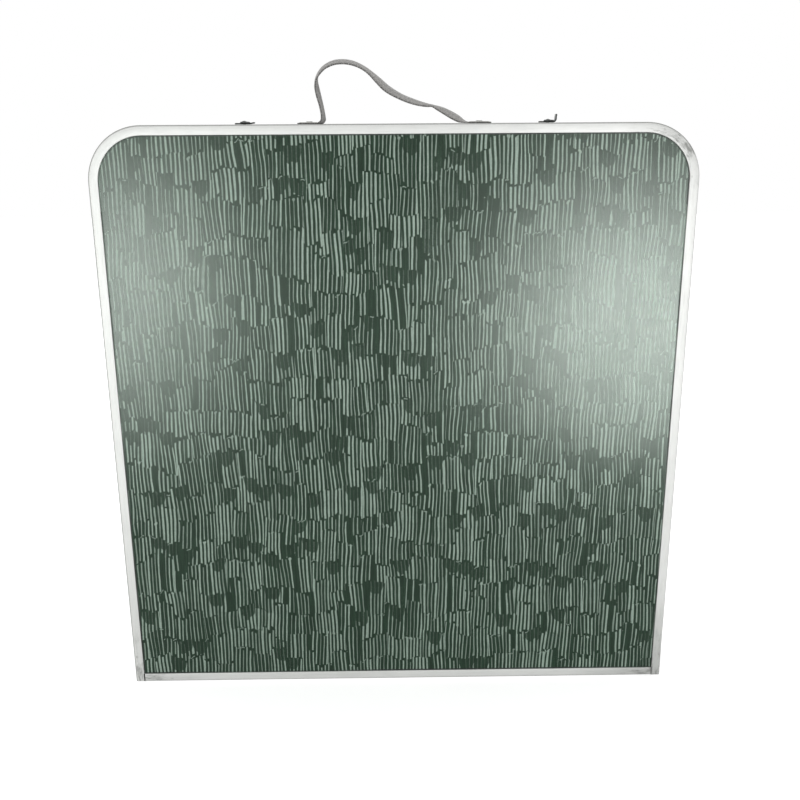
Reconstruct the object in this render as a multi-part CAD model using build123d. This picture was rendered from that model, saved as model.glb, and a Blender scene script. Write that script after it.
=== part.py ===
from build123d import *
import math

# A folding card table, folded shut and standing on its fold edge.
# X runs along the fold line, Y from the front leaf to the rear leaf, Z is up.
# The origin is the middle of the base. Each leaf is a shallow tray, open to the other leaf.

# The folded table
table_width = 600
leaf_height = 610
leaf_depth = 30
parting_gap = 0.4
corner_radius = 55

# The aluminium edging: a web, a flange over the playing surface and a ledge under the board
edge_wall = 1.5
flange_width = 9.6
fold_flange_width = 9.4
flange_thickness = 1.2
ledge_setback = 0.5
ledge_thickness = 1.2
butt_gap = 0.2

# The panel
laminate_thickness = 0.8
board_thickness = 3.2
panel_clearance = 0.5
batten_width = 40
batten_thickness = 8
batten_height = 300
batten_clearance = 1

# The gussets that tie the fold rail to the side rails
gusset_length = 58
gusset_thickness = 1.5
gusset_clearance = 0.3
gusset_notch_height = 30
gusset_rivet_radius = 1.5
gusset_rivet_near = 10
gusset_rivet_far = 40

# The hinge at the fold: two link plates on four pins
link_ledge_gap = 1.6
link_thickness = 2
link_side_gap = 0.5
link_pin_radius = 2.5
link_pin_head_radius = 4
link_pin_head = 1
pin_end_gap = 0.2
running_clearance = 0.05

# The legs: an outer tube that turns on a pin and a tube that slides in it
leg_side_margin = 28
leg_top_margin = 25
leg_stagger = 30
leg_floor_gap = 1.3
leg_parting_setback = 2
leg_wall = 1.5
stored_foot_inset = 43
slide_clearance = 0.1
extension_wall = 1.2
extension_start = 40
collar_wall = 1
collar_length = 18
collar_lip = 3
foot_gap = 1
foot_swell = 1
foot_length = 25
foot_floor = 4
foot_rounding = 2

# The brackets, pins and rests of the legs
bracket_wall = 1.5
bracket_side_gap = 0.4
bracket_stop_gap = 0.3
bracket_tail_reach = 4
bracket_rim = 3.5
bracket_ear = 12
bracket_rivet_radius = 2
leg_pin_radius = 3
leg_pin_head_radius = 5
leg_pin_head = 1.5
rest_wall = 2
rest_side_gap = 0.3
rest_width = 20
rest_rim = 9
rest_setback = 50

# Heads of rivets, and how far a cut runs past what it cuts
rivet_head = 0.9
rivet_head_ratio_share = 1.9
cut_overrun = 1

# The latches: a turned hook on the front leaf that catches a stud on the rear leaf
left_latch_place = 148.5
right_latch_place = 152.5
latch_setback = 3.4
stud_setback = 2.8
latch_width = 7
latch_thickness = 1.3
latch_lift = 0.3
latch_hook_wall = 1.2
latch_play = 0.3
latch_straight = 5
latch_bend_radius = 2.6
latch_tab_length = 5
raised_tab_deg = 84
flat_tab_deg = 9
latch_rivet_radius = 1.5
latch_dome_radius = 3.6
latch_dome_height = 1.9
stud_neck_radius = 1
stud_head_radius = 2.2
stud_head = 1

# The carrying strap
strap_width = 22
strap_thickness = 1.2
strap_half_span = 67
strap_rise = 60
strap_tail = 27
strap_left_bend = 3
strap_right_bend = 8
strap_plate_length = 18
strap_plate_thickness = 0.6
strap_plate_margin = 2
strap_rivet_radius = 1.4
strap_rivet_spread = 10
strap_rivet_ledge_gap = 0.94
strap_rivet_head = 0.7

# The loop of the strap: places as shares of the half span and of the rise
strap_left_foot_share = -1.05
strap_corner_shares = [(-1.18, 0.98), (-0.45, 1.02), (-0.03, 0.47), (0.63, 0.25)]
strap_corner_radius_shares = [0.37, 0.53, 1.0, 1.0]

# Places that follow from the sizes
half_width = table_width / 2
half_gap = parting_gap / 2
front_face = -(half_gap + leaf_depth)
pivot_depth = leaf_depth / 2
pivot_height = leaf_depth / 2
board_face = flange_thickness + laminate_thickness
ledge_face = board_face + board_thickness
tray_floor = ledge_face + ledge_thickness
link_radius = pivot_depth - tray_floor - link_ledge_gap
ledge_inset = flange_width - ledge_setback
fold_ledge_height = fold_flange_width - ledge_setback
rail_half_length = half_width - flange_width - butt_gap
leg_bed = ledge_face + bracket_wall + leg_floor_gap
leg_radius = (leaf_depth - leg_parting_setback - leg_bed) / 2
leg_axis_depth = leg_bed + leg_radius
leg_pivot = half_width - leg_side_margin - leg_radius
high_leg = leaf_height - leg_top_margin - leg_radius
low_leg = high_leg - leg_stagger
bore_radius = leg_radius - leg_wall
foot_radius = leg_radius + foot_swell
bracket_tail = leg_radius + bracket_tail_reach
extension_radius = bore_radius - slide_clearance
foot_reach = leg_pivot + half_width - stored_foot_inset
foot_top = foot_reach - foot_length
leg_reach = foot_top - foot_gap - collar_lip
rest_reach = leg_reach - rest_setback
latch_places = (-left_latch_place, right_latch_place)
latch_reach = latch_setback + parting_gap + stud_setback
strap_rivet_head_radius = strap_rivet_radius * rivet_head_ratio_share
strap_row_depth = tray_floor + strap_rivet_ledge_gap + strap_rivet_head_radius
strap_depth = strap_row_depth + strap_rivet_spread / 2


def depth_y(depth):
    """The Y of a place under the front leaf's outer face."""
    return front_face + depth


def block(low, high):
    """A box between two opposite corners."""
    size = [b - a for a, b in zip(low, high)]
    middle = [(a + b) / 2 for a, b in zip(low, high)]
    return Pos(*middle) * Box(*size)


def rod(start, end, radius):
    """A round bar from one point to another."""
    run = Vector(*end) - Vector(*start)
    place = Plane(origin=start, z_dir=run)
    bar = Cylinder(radius, run.length, align=(Align.CENTER, Align.CENTER, Align.MIN))
    return place * bar


def slab(outline, near, far):
    """An outline drawn in X and Z, made solid between two depths under the front face."""
    place = Plane(origin=(0, depth_y(near), 0), x_dir=(1, 0, 0), z_dir=(0, -1, 0))
    return extrude(place * outline, amount=far - near, dir=(0, 1, 0))


def rectangle(left, right, low, high):
    """A rectangle between two sides and two heights."""
    return Pos((left + right) / 2, (low + high) / 2) * Rectangle(right - left, high - low)


def leaf_outline(inset, low):
    """The leaf's outline with its two rounded top corners, drawn inside its outer edge."""
    outline = rectangle(inset - half_width, half_width - inset, low, leaf_height - inset)
    top_corners = outline.vertices().sort_by(Axis.Y)[-2:]
    return fillet(top_corners, corner_radius - inset)


def fold_nose_waste(left, right):
    """What the rounded nose leaves out of a square corner beside the parting plane."""
    low = (left, depth_y(pivot_depth), -cut_overrun)
    high = (right, depth_y(leaf_depth) + cut_overrun, pivot_height)
    start = (left - cut_overrun, depth_y(pivot_depth), pivot_height)
    end = (right + cut_overrun, depth_y(pivot_depth), pivot_height)
    return block(low, high) - rod(start, end, leaf_depth / 2)


def both_sides(shape):
    """A piece of the right side with its twin on the left side."""
    return [shape, mirror(shape, about=Plane.YZ)]


# The leaf's edging and panel

def gusset_rivet_places():
    """Middles of the rivets of the right gusset, in X and Z."""
    on_fold_rail = (edge_wall + fold_ledge_height) / 2
    on_side_rail = half_width - (edge_wall + ledge_inset) / 2
    return [
        (rail_half_length - gusset_rivet_near, on_fold_rail),
        (rail_half_length - gusset_rivet_far, on_fold_rail),
        (on_side_rail, gusset_notch_height + gusset_rivet_near),
        (on_side_rail, gusset_length - gusset_rivet_near / 2),
    ]


def gusset_holes():
    """Holes for the rivets of both gussets, through the ledges and the gussets."""
    holes = []
    for x, z in gusset_rivet_places():
        start = (x, depth_y(ledge_face), z)
        end = (x, depth_y(tray_floor + gusset_thickness + cut_overrun), z)
        holes += both_sides(rod(start, end, gusset_rivet_radius + running_clearance))
    return holes


def edge_frame():
    """One bent length of edging: side rail, rounded corner, top rail, corner, side rail."""
    outer = leaf_outline(0, 0)
    web = slab(outer - leaf_outline(edge_wall, -cut_overrun), 0, leaf_depth)
    flange = slab(outer - leaf_outline(flange_width, -cut_overrun), 0, flange_thickness)
    ledge_ring = outer - leaf_outline(ledge_inset, -cut_overrun)
    ledge = slab(ledge_ring, ledge_face, tray_floor)
    frame = web + flange + ledge
    frame -= fold_nose_waste(-half_width - cut_overrun, half_width + cut_overrun)
    y = depth_y(pivot_depth)
    start = (-half_width - cut_overrun, y, pivot_height)
    end = (half_width + cut_overrun, y, pivot_height)
    frame -= rod(start, end, link_pin_radius + running_clearance)
    for hole in gusset_holes():
        frame -= hole
    return frame


def fold_rail():
    """The rail along the fold, butted between the side rails, with a rounded nose."""
    y = depth_y(0)
    web = rectangle(y, depth_y(pivot_depth), 0, edge_wall)
    nose = Pos(depth_y(pivot_depth), pivot_height) * Circle(leaf_depth / 2)
    nose -= Pos(depth_y(pivot_depth), pivot_height) * Circle(leaf_depth / 2 - edge_wall)
    nose &= rectangle(depth_y(pivot_depth), depth_y(leaf_depth), 0, pivot_height)
    flange = rectangle(y, depth_y(flange_thickness), 0, fold_flange_width)
    ledge = rectangle(depth_y(ledge_face), depth_y(tray_floor), 0, fold_ledge_height)
    section = web + nose + flange + ledge
    rail = extrude(Plane.YZ * section, amount=rail_half_length, both=True)
    for hole in gusset_holes():
        rail -= hole
    return rail


def panel_outline():
    """The outline of the board and its laminate, inside the edging's web."""
    return leaf_outline(edge_wall + panel_clearance, edge_wall + panel_clearance)


def laminate():
    """The printed playing surface."""
    return slab(panel_outline(), flange_thickness, board_face)


def bracket_rivet_places(pivot_x, height):
    """Middles of the two rivets in a leg bracket's ear, in X and Z."""
    z = height - leg_radius - bracket_side_gap - bracket_wall - bracket_ear / 2
    return [(pivot_x - leg_radius + bracket_ear / 3, z), (pivot_x + leg_radius, z)]


def board():
    """The hardboard panel, bored for the rivets of the leg brackets."""
    panel = slab(panel_outline(), board_face, ledge_face)
    for rivet in bracket_rivets(running_clearance):
        panel -= rivet
    return panel


def batten():
    """The wooden batten glued across the back of the board."""
    half = half_width - ledge_inset - batten_clearance
    low = (-half, depth_y(ledge_face), batten_height - batten_width / 2)
    high = (half, depth_y(ledge_face + batten_thickness), batten_height + batten_width / 2)
    return block(low, high)


def corner_gussets():
    """Two flat plates, notched round the hinge links, that tie the rails together."""
    outer = half_width - edge_wall - gusset_clearance
    inner = rail_half_length - gusset_length
    low = edge_wall + gusset_clearance
    plate = rectangle(inner, outer, low, gusset_length)
    plate -= rectangle(rail_half_length, outer + cut_overrun, 0, gusset_notch_height)
    slope = Polyline(
        (inner - cut_overrun, low + fold_ledge_height),
        (inner - cut_overrun, gusset_length + cut_overrun),
        (outer - ledge_inset, gusset_length + cut_overrun),
        close=True,
    )
    plate -= make_face(slope)
    gusset = slab(plate, tray_floor, tray_floor + gusset_thickness)
    gussets = both_sides(gusset)
    return [cut_all(piece, gusset_holes()) for piece in gussets]


def cut_all(piece, tools):
    """A piece less each of several solids."""
    for tool in tools:
        piece -= tool
    return piece


def gusset_rivets():
    """Rivets through the gussets and the ledges, up to the board."""
    rivets = []
    seat = tray_floor + gusset_thickness
    for x, z in gusset_rivet_places():
        shank = rod((x, depth_y(ledge_face), z), (x, depth_y(seat), z), gusset_rivet_radius)
        head_radius = gusset_rivet_radius * rivet_head_ratio_share
        head = rod((x, depth_y(seat), z), (x, depth_y(seat + rivet_head), z), head_radius)
        rivets += both_sides(shank + head)
    return rivets


# The hinge at the fold

def fold_links():
    """Two plates, each with a hole for a pin of the front leaf and one of the rear leaf."""
    outer = half_width - edge_wall - link_side_gap
    inner = outer - link_thickness
    y = half_gap + pivot_depth
    plate = block((inner, -y, pivot_height - link_radius), (outer, y, pivot_height + link_radius))
    for end in (-y, y):
        plate += rod((inner, end, pivot_height), (outer, end, pivot_height), link_radius)
    for end in (-y, y):
        start = (inner - cut_overrun, end, pivot_height)
        stop = (outer + cut_overrun, end, pivot_height)
        plate -= rod(start, stop, link_pin_radius + running_clearance)
    return both_sides(plate)


def link_pins():
    """The front leaf's two hinge pins: head outside the web, collar inside the link."""
    y = depth_y(pivot_depth)
    collar = half_width - edge_wall - link_side_gap - link_thickness - pin_end_gap
    inner_end = collar - link_pin_head
    z = pivot_height
    pin = rod((inner_end, y, z), (half_width, y, z), link_pin_radius)
    pin += rod((inner_end, y, z), (collar, y, z), link_pin_head_radius)
    pin += rod((half_width, y, z), (half_width + link_pin_head, y, z), link_pin_head_radius)
    return both_sides(pin)


# The legs, drawn for a leg whose pivot is on the left and whose tube runs to the right

def turned_to_right(shape):
    """The same piece for the leg whose pivot is on the right, one stagger lower."""
    return Pos(0, 0, -leg_stagger) * mirror(shape, about=Plane.YZ)


def leg_point(along):
    """A point on the axis of the left leg, measured from its pivot."""
    return (along - leg_pivot, depth_y(leg_axis_depth), high_leg)


def leg_tube():
    """The outer tube, rounded at its pivot end and bored for the pin."""
    tube = rod(leg_point(-leg_radius), leg_point(leg_reach), leg_radius)
    tube -= rod(leg_point(-leg_radius - cut_overrun), leg_point(leg_reach + cut_overrun), bore_radius)
    x, y, z = leg_point(0)
    reach = leg_radius + cut_overrun
    end_block = block((x - reach, y - reach, z - reach), (x, y + reach, z + reach))
    tube -= end_block - rod((x, y, z - reach), (x, y, z + reach), leg_radius)
    tube -= rod((x, y, z - reach), (x, y, z + reach), leg_pin_radius + running_clearance)
    return tube


def leg_collar():
    """The plastic collar over the mouth of the outer tube."""
    mouth = leg_reach
    collar = rod(leg_point(mouth - collar_length), leg_point(mouth + collar_lip), leg_radius + collar_wall)
    seat = leg_radius + running_clearance
    collar -= rod(leg_point(mouth - collar_length - cut_overrun), leg_point(mouth), seat)
    collar -= rod(leg_point(mouth - cut_overrun), leg_point(mouth + collar_lip + cut_overrun), bore_radius)
    return collar


def leg_extension():
    """The inner tube that slides out to the table's full height."""
    end = foot_reach - foot_floor
    tube = rod(leg_point(extension_start), leg_point(end), extension_radius)
    bore = extension_radius - extension_wall
    tube -= rod(leg_point(extension_start - cut_overrun), leg_point(end + cut_overrun), bore)
    return tube


def leg_foot():
    """The rubber foot cap on the inner tube."""
    end = foot_reach
    foot = rod(leg_point(foot_top), leg_point(end), foot_radius)
    foot = fillet(foot.edges().sort_by(Axis.X)[-1], foot_rounding)
    seat = extension_radius + running_clearance
    foot -= rod(leg_point(foot_top - cut_overrun), leg_point(end - foot_floor), seat)
    return foot


def leg_bracket():
    """The channel that holds the left leg: base, two cheeks, a stop wall and a riveted ear."""
    x, y, z = leg_point(0)
    stop = leg_radius + bracket_stop_gap
    side = leg_radius + bracket_side_gap
    floor = depth_y(ledge_face + bracket_wall)
    rim = depth_y(leaf_depth - bracket_rim)
    outer_low = (x - stop - bracket_wall, depth_y(ledge_face), z - side - bracket_wall)
    outer_high = (x + bracket_tail, rim, z + side + bracket_wall)
    shell = block(outer_low, outer_high)
    rim_corners = shell.edges().filter_by(Axis.Z).sort_by(Axis.Y)[-2:]
    shell = fillet(rim_corners, bracket_tail / 2)
    channel_high = (x + bracket_tail + cut_overrun, rim + cut_overrun, z + side)
    shell -= block((x - stop, floor, z - side), channel_high)
    ear_low = (x - stop - bracket_wall, depth_y(ledge_face), z - side - bracket_wall - bracket_ear)
    shell += block(ear_low, (x + bracket_tail, floor, z - side))
    reach = side + bracket_wall + cut_overrun
    shell -= rod((x, y, z - reach), (x, y, z + reach), leg_pin_radius + running_clearance)
    return shell


def leg_pin():
    """The pin of the left leg, headed at both ends outside the cheeks."""
    x, y, z = leg_point(0)
    side = leg_radius + bracket_side_gap + bracket_wall
    pin = rod((x, y, z - side), (x, y, z + side), leg_pin_radius)
    pin += rod((x, y, z + side), (x, y, z + side + leg_pin_head), leg_pin_head_radius)
    pin += rod((x, y, z - side - leg_pin_head), (x, y, z - side), leg_pin_head_radius)
    return pin


def leg_rest():
    """The plastic cradle that holds the far end of the stored left leg."""
    x, y, z = leg_point(rest_reach)
    side = leg_radius + rest_side_gap
    floor = depth_y(ledge_face + rest_wall)
    rim = depth_y(leaf_depth - rest_rim)
    half = rest_width / 2
    low = (x - half, depth_y(ledge_face), z - side - rest_wall)
    shell = block(low, (x + half, rim, z + side + rest_wall))
    gap_low = (x - half - cut_overrun, floor, z - side)
    shell -= block(gap_low, (x + half + cut_overrun, rim + cut_overrun, z + side))
    return shell


def bracket_rivets(clearance):
    """Rivets of both leg brackets through the board, or with a clearance, their holes."""
    rivets = []
    seat = ledge_face + bracket_wall
    for side, height in ((-1, high_leg), (1, low_leg)):
        for x, z in bracket_rivet_places(-leg_pivot, height):
            place = -side * x
            radius = bracket_rivet_radius + clearance
            start = (place, depth_y(board_face), z)
            shank = rod(start, (place, depth_y(seat), z), radius)
            head_radius = bracket_rivet_radius * rivet_head_ratio_share
            end = (place, depth_y(seat + rivet_head), z)
            head = rod((place, depth_y(seat), z), end, head_radius)
            rivets.append(shank + head)
    return rivets


def leg_pair(shape):
    """A fitting of the left leg with the same fitting of the right leg."""
    return [shape, turned_to_right(shape)]


# The latches on the top rails

def latch_hook(x, tab_deg):
    """A turned hook, open along the rail, with a notch for the stud and a thumb tab."""
    y = depth_y(leaf_depth - latch_setback)
    z = leaf_height + latch_lift + latch_thickness / 2
    tip = latch_reach + stud_neck_radius + latch_play + latch_hook_wall
    side_plane = Plane(origin=(x, y, z), x_dir=(1, 0, 0), z_dir=(0, -1, 0))
    flat = Line((-tip, 0), (latch_straight, 0))
    bend = JernArc((latch_straight, 0), (1, 0), latch_bend_radius, tab_deg)
    tab = Line(bend @ 1, bend @ 1 + (bend % 1) * latch_tab_length)
    path = side_plane * Wire([flat, bend, tab])
    section = Plane(origin=path @ 0, x_dir=(0, 1, 0), z_dir=(1, 0, 0))
    hook = sweep(section * Rectangle(latch_width, latch_thickness), path=path)
    tip_edges = hook.edges().filter_by(Axis.Z).sort_by(Axis.X)[:2]
    hook = fillet(tip_edges, latch_width / 3)
    low, high = z - latch_thickness, z + latch_thickness
    slot = stud_neck_radius + latch_play
    entry = math.sqrt(latch_reach ** 2 - (latch_width / 2) ** 2)
    notch_low = (x - latch_reach - slot, y - slot, low)
    hook -= block(notch_low, (x - entry + slot, y + latch_width, high))
    return hook - rod((x, y, low), (x, y, high), latch_rivet_radius + running_clearance)


def latch_rivets():
    """The two rivets that the hooks turn on, with domed heads."""
    rivets = []
    y = depth_y(leaf_depth - latch_setback)
    seat = leaf_height + latch_lift + latch_thickness + pin_end_gap
    for x in latch_places:
        under = leaf_height - edge_wall - rivet_head
        rivet = rod((x, y, under), (x, y, seat), latch_rivet_radius)
        tail_radius = latch_rivet_radius * rivet_head_ratio_share
        rivet += rod((x, y, under), (x, y, leaf_height - edge_wall), tail_radius)
        ball_radius = (latch_dome_radius ** 2 + latch_dome_height ** 2) / (2 * latch_dome_height)
        ball = Pos(x, y, seat + latch_dome_height - ball_radius) * Sphere(ball_radius)
        keep = rod((x, y, seat), (x, y, seat + latch_dome_height), latch_dome_radius)
        rivets.append(rivet + (keep & ball))
    return rivets


def latch_studs():
    """The two headed studs of the rear leaf that the hooks catch."""
    studs = []
    y = half_gap + stud_setback
    neck_top = leaf_height + latch_lift + latch_thickness + latch_play
    for x in latch_places:
        under = leaf_height - edge_wall - rivet_head
        stud = rod((x, y, under), (x, y, neck_top), stud_neck_radius)
        tail_radius = stud_neck_radius * rivet_head_ratio_share
        stud += rod((x, y, under), (x, y, leaf_height - edge_wall), tail_radius)
        stud += rod((x, y, neck_top), (x, y, neck_top + stud_head), stud_head_radius)
        studs.append(stud)
    return studs


# The carrying strap

strap_y = depth_y(strap_depth)


def strap_rivet_places():
    """Middles of the four strap rivets, in X and Y."""
    from_middle = strap_half_span + strap_tail - strap_plate_margin - strap_plate_length / 2
    half = strap_rivet_spread / 2
    return [(side * from_middle, strap_y + row) for side in (-1, 1) for row in (-half, half)]


def strap_route():
    """The strap's middle line: flat tail, loop and flat tail, as runs joined by arcs."""
    z = leaf_height + strap_thickness / 2
    corners = [
        (x_share * strap_half_span, strap_y, z + z_share * strap_rise)
        for x_share, z_share in strap_corner_shares
    ]
    start = (-strap_half_span - strap_tail, strap_y, z)
    left_foot = (strap_left_foot_share * strap_half_span, strap_y, z)
    right_foot = (strap_half_span, strap_y, z)
    end = (strap_half_span + strap_tail, strap_y, z)
    radii = [share * strap_rise for share in strap_corner_radius_shares]
    points = [start, left_foot, *corners, right_foot, end]
    return FilletPolyline(*points, radius=[strap_left_bend, *radii, strap_right_bend])


def strap():
    """The webbing strap, looped over the top rail and bored for its rivets."""
    path = strap_route()
    section = Plane(origin=path @ 0, x_dir=(0, 1, 0), z_dir=(1, 0, 0))
    band = sweep(section * Rectangle(strap_width, strap_thickness), path=path)
    return band - strap_holes(leaf_height - cut_overrun, leaf_height + strap_thickness + cut_overrun)


def strap_holes(low, high):
    """Holes for the strap rivets between two heights."""
    holes = [
        rod((x, y, low), (x, y, high), strap_rivet_radius + running_clearance)
        for x, y in strap_rivet_places()
    ]
    return Compound(children=holes)


def strap_plates():
    """The thin plate on each tail of the strap."""
    plates = []
    seat = leaf_height + strap_thickness
    outer = strap_half_span + strap_tail - strap_plate_margin
    low = (outer - strap_plate_length, strap_y - strap_width / 2, seat)
    high = (outer, strap_y + strap_width / 2, seat + strap_plate_thickness)
    for plate in both_sides(block(low, high)):
        plates.append(plate - strap_holes(seat - cut_overrun, high[2] + cut_overrun))
    return plates


def strap_rivets():
    """The rivets that hold the plates and the strap to the top rail."""
    rivets = []
    under = leaf_height - edge_wall
    seat = leaf_height + strap_thickness + strap_plate_thickness
    for x, y in strap_rivet_places():
        rivet = rod((x, y, under - rivet_head), (x, y, seat), strap_rivet_radius)
        rivet += rod((x, y, under - rivet_head), (x, y, under), strap_rivet_head_radius)
        rivet += rod((x, y, seat), (x, y, seat + strap_rivet_head), strap_rivet_head_radius)
        rivets.append(rivet)
    return rivets


# The top rails' own holes

def front_rail_holes():
    """Holes in the front top rail for the latch rivets and the strap rivets."""
    low, high = leaf_height - edge_wall - cut_overrun, leaf_height + cut_overrun
    y = depth_y(leaf_depth - latch_setback)
    holes = [
        rod((x, y, low), (x, y, high), latch_rivet_radius + running_clearance)
        for x in latch_places
    ]
    return [*holes, strap_holes(low, high)]


def rear_rail_holes():
    """Holes in the rear top rail for the studs."""
    low, high = leaf_height - edge_wall - cut_overrun, leaf_height + cut_overrun
    y = half_gap + stud_setback
    return [
        rod((x, y, low), (x, y, high), stud_neck_radius + running_clearance)
        for x in latch_places
    ]


# Writing the pieces

def write(node, shape):
    """Save one named piece, or a group of separate solids."""
    if isinstance(shape, list):
        shape = Compound(children=shape) if len(shape) > 1 else shape[0]
    export_step(shape, f"parts/{node}.step")


def leaf_pieces():
    """The pieces that both leaves have, by name, drawn for the front leaf."""
    bracket_holes = bracket_rivets(running_clearance)
    return {
        "edge_frame": edge_frame(),
        "fold_rail": fold_rail(),
        "board": board(),
        "laminate": laminate(),
        "batten": batten(),
        "corner_gussets": corner_gussets(),
        "gusset_rivets": gusset_rivets(),
        "link_pins": link_pins(),
        "leg_brackets": [cut_all(piece, bracket_holes) for piece in leg_pair(leg_bracket())],
        "bracket_rivets": bracket_rivets(0),
        "leg_pins": leg_pair(leg_pin()),
        "leg_rests": leg_pair(leg_rest()),
    }


def leg_pieces():
    """The pieces of one leg, by name, drawn for the front left leg."""
    return {
        "tube": leg_tube(),
        "collar": leg_collar(),
        "extension": leg_extension(),
        "foot": leg_foot(),
    }


def to_rear(shape):
    """A piece of the front leaf, turned half round for the rear leaf."""
    if isinstance(shape, list):
        return [Rot(0, 0, 180) * piece for piece in shape]
    return Rot(0, 0, 180) * shape


for name, piece in leaf_pieces().items():
    front, rear = piece, to_rear(piece)
    if name == "edge_frame":
        front = cut_all(front, front_rail_holes())
        rear = cut_all(rear, rear_rail_holes())
    write(f"front_{name}", front)
    write(f"rear_{name}", rear)

for name, piece in leg_pieces().items():
    right = turned_to_right(piece)
    write(f"front_left_leg_{name}", piece)
    write(f"front_right_leg_{name}", right)
    write(f"rear_right_leg_{name}", to_rear(piece))
    write(f"rear_left_leg_{name}", to_rear(right))

write("fold_links", fold_links())
write("left_latch_hook", latch_hook(-left_latch_place, flat_tab_deg))
write("right_latch_hook", latch_hook(right_latch_place, raised_tab_deg))
write("latch_rivets", latch_rivets())
write("latch_studs", latch_studs())
write("strap", strap())
write("strap_plates", strap_plates())
write("strap_rivets", strap_rivets())
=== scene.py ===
import math

import bmesh
import bpy
import numpy as np
from bpy.props import FloatProperty, FloatVectorProperty, PointerProperty
from mathutils import Matrix, Vector


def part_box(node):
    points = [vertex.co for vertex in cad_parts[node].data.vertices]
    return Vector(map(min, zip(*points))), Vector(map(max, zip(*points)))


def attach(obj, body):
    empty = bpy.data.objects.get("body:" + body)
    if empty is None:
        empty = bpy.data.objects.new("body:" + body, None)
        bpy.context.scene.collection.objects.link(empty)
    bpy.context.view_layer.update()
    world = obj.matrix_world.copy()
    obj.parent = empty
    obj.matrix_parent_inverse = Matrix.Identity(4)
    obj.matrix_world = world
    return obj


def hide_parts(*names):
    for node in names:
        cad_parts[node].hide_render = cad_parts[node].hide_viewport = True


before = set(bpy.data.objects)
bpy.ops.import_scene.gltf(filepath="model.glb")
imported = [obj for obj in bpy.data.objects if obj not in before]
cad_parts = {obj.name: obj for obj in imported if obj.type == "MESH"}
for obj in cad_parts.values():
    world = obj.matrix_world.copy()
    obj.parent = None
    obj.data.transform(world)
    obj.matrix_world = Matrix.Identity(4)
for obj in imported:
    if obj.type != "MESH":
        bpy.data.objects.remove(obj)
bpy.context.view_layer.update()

bl_info = {
    "name": "Folding card table",
    "version": (1, 0, 0),
    "blender": (4, 5, 0),
    "location": "3D View > Sidebar > Card table",
    "description": "Edging, printed panels, strap, latches, hinge and legs of a folding card table",
    "category": "Object",
}

LEAVES = ("front", "rear")

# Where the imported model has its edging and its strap, in metres
FRAME_LOW, FRAME_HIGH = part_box("front_edge_frame")
STRAP_LOW, STRAP_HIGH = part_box("strap")

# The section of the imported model's edging, in metres: the widths of its lips, its corner
# radius, the wall, and how deep the lip's back and the ledge's two faces lie
EDGING_LIP, FOLD_LIP, CORNER_RADIUS = 0.0096, 0.0094, 0.055
EDGING_WALL, LIP_BACK, LEDGE_FRONT, LEDGE_BACK = 0.0015, 0.0012, 0.0052, 0.0064
# How much narrower than its lip the ledge is
LEDGE_SHORTER = 0.0005


# Sizes and colours that a user would change

def length_setting(**settings):
    """A length in metres."""
    return FloatProperty(unit="LENGTH", **settings)


def share_setting(**settings):
    """A number from none to one."""
    return FloatProperty(min=0, max=1, subtype="FACTOR", **settings)


def colour_setting(**settings):
    """A colour without alpha."""
    return FloatVectorProperty(size=3, min=0, max=1, subtype="COLOR", **settings)


class EdgingSettings(bpy.types.PropertyGroup):
    corner_radius: length_setting(
        name="Corner radius", description="Outer radius of the two rounded corners",
        default=CORNER_RADIUS, min=0.02)
    flange_width: length_setting(
        name="Flange width", description="Width of the lip over the playing surface",
        default=EDGING_LIP, min=0.004)
    fold_flange_width: length_setting(
        name="Fold flange width", description="Width of the lip of the rail along the fold",
        default=FOLD_LIP, min=0.004)
    outer_rounding: length_setting(
        name="Outer rounding", description="Rounding of the edging's outer edge",
        default=0.0009, min=0.0001)
    lip_rounding: length_setting(
        name="Lip rounding", description="Rounding of the lip over the playing surface",
        default=0.0004, min=0.0001)
    metal_colour: colour_setting(
        name="Metal", description="Colour of the clean aluminium", default=(0.56, 0.565, 0.553))
    stain_colour: colour_setting(
        name="Stain", description="Colour of the oxide and handling stains",
        default=(0.24, 0.245, 0.235))
    roughness: share_setting(
        name="Roughness", description="Roughness of the satin metal", default=0.50)


class LaminateSettings(bpy.types.PropertyGroup):
    stroke_pitch: length_setting(
        name="Stroke pitch", description="Distance from one upright stroke to the next",
        default=0.00405, min=0.001)
    stroke_share: FloatProperty(
        name="Stroke share", description="Half width of a full stroke as a share of the pitch",
        default=0.193, min=0.05, max=0.5, subtype="FACTOR")
    cluster_width: length_setting(
        name="Cluster width", description="Width of a cluster of strokes that end together",
        default=0.0185, min=0.005)
    cluster_height: length_setting(
        name="Cluster height", description="Height of a cluster of strokes", default=0.0295, min=0.005)
    ground_colour: colour_setting(
        name="Ground", description="Colour of the dark ground", default=(0.005, 0.020, 0.009))
    stroke_colour: colour_setting(
        name="Strokes", description="Colour of the pale strokes", default=(0.226, 0.293, 0.246))
    roughness: share_setting(
        name="Roughness", description="Roughness of the satin laminate", default=0.23)


class StrapSettings(bpy.types.PropertyGroup):
    width: length_setting(
        name="Width", description="Width of the webbing", default=0.022, min=0.01)
    thickness: length_setting(
        name="Thickness", description="Thickness of the webbing", default=0.0012, min=0.0005)
    yarn_width: length_setting(
        name="Yarn width", description="Width of one lengthwise yarn", default=0.00157, min=0.0005)
    pick_pitch: length_setting(
        name="Pick pitch", description="Length of one over and under of a yarn",
        default=0.0024, min=0.0005)
    relief: length_setting(
        name="Relief", description="Height of the weave", default=0.00020, min=0)
    yarn_colour: colour_setting(
        name="Yarn", description="Colour of the webbing", default=(0.205, 0.200, 0.192))


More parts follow.
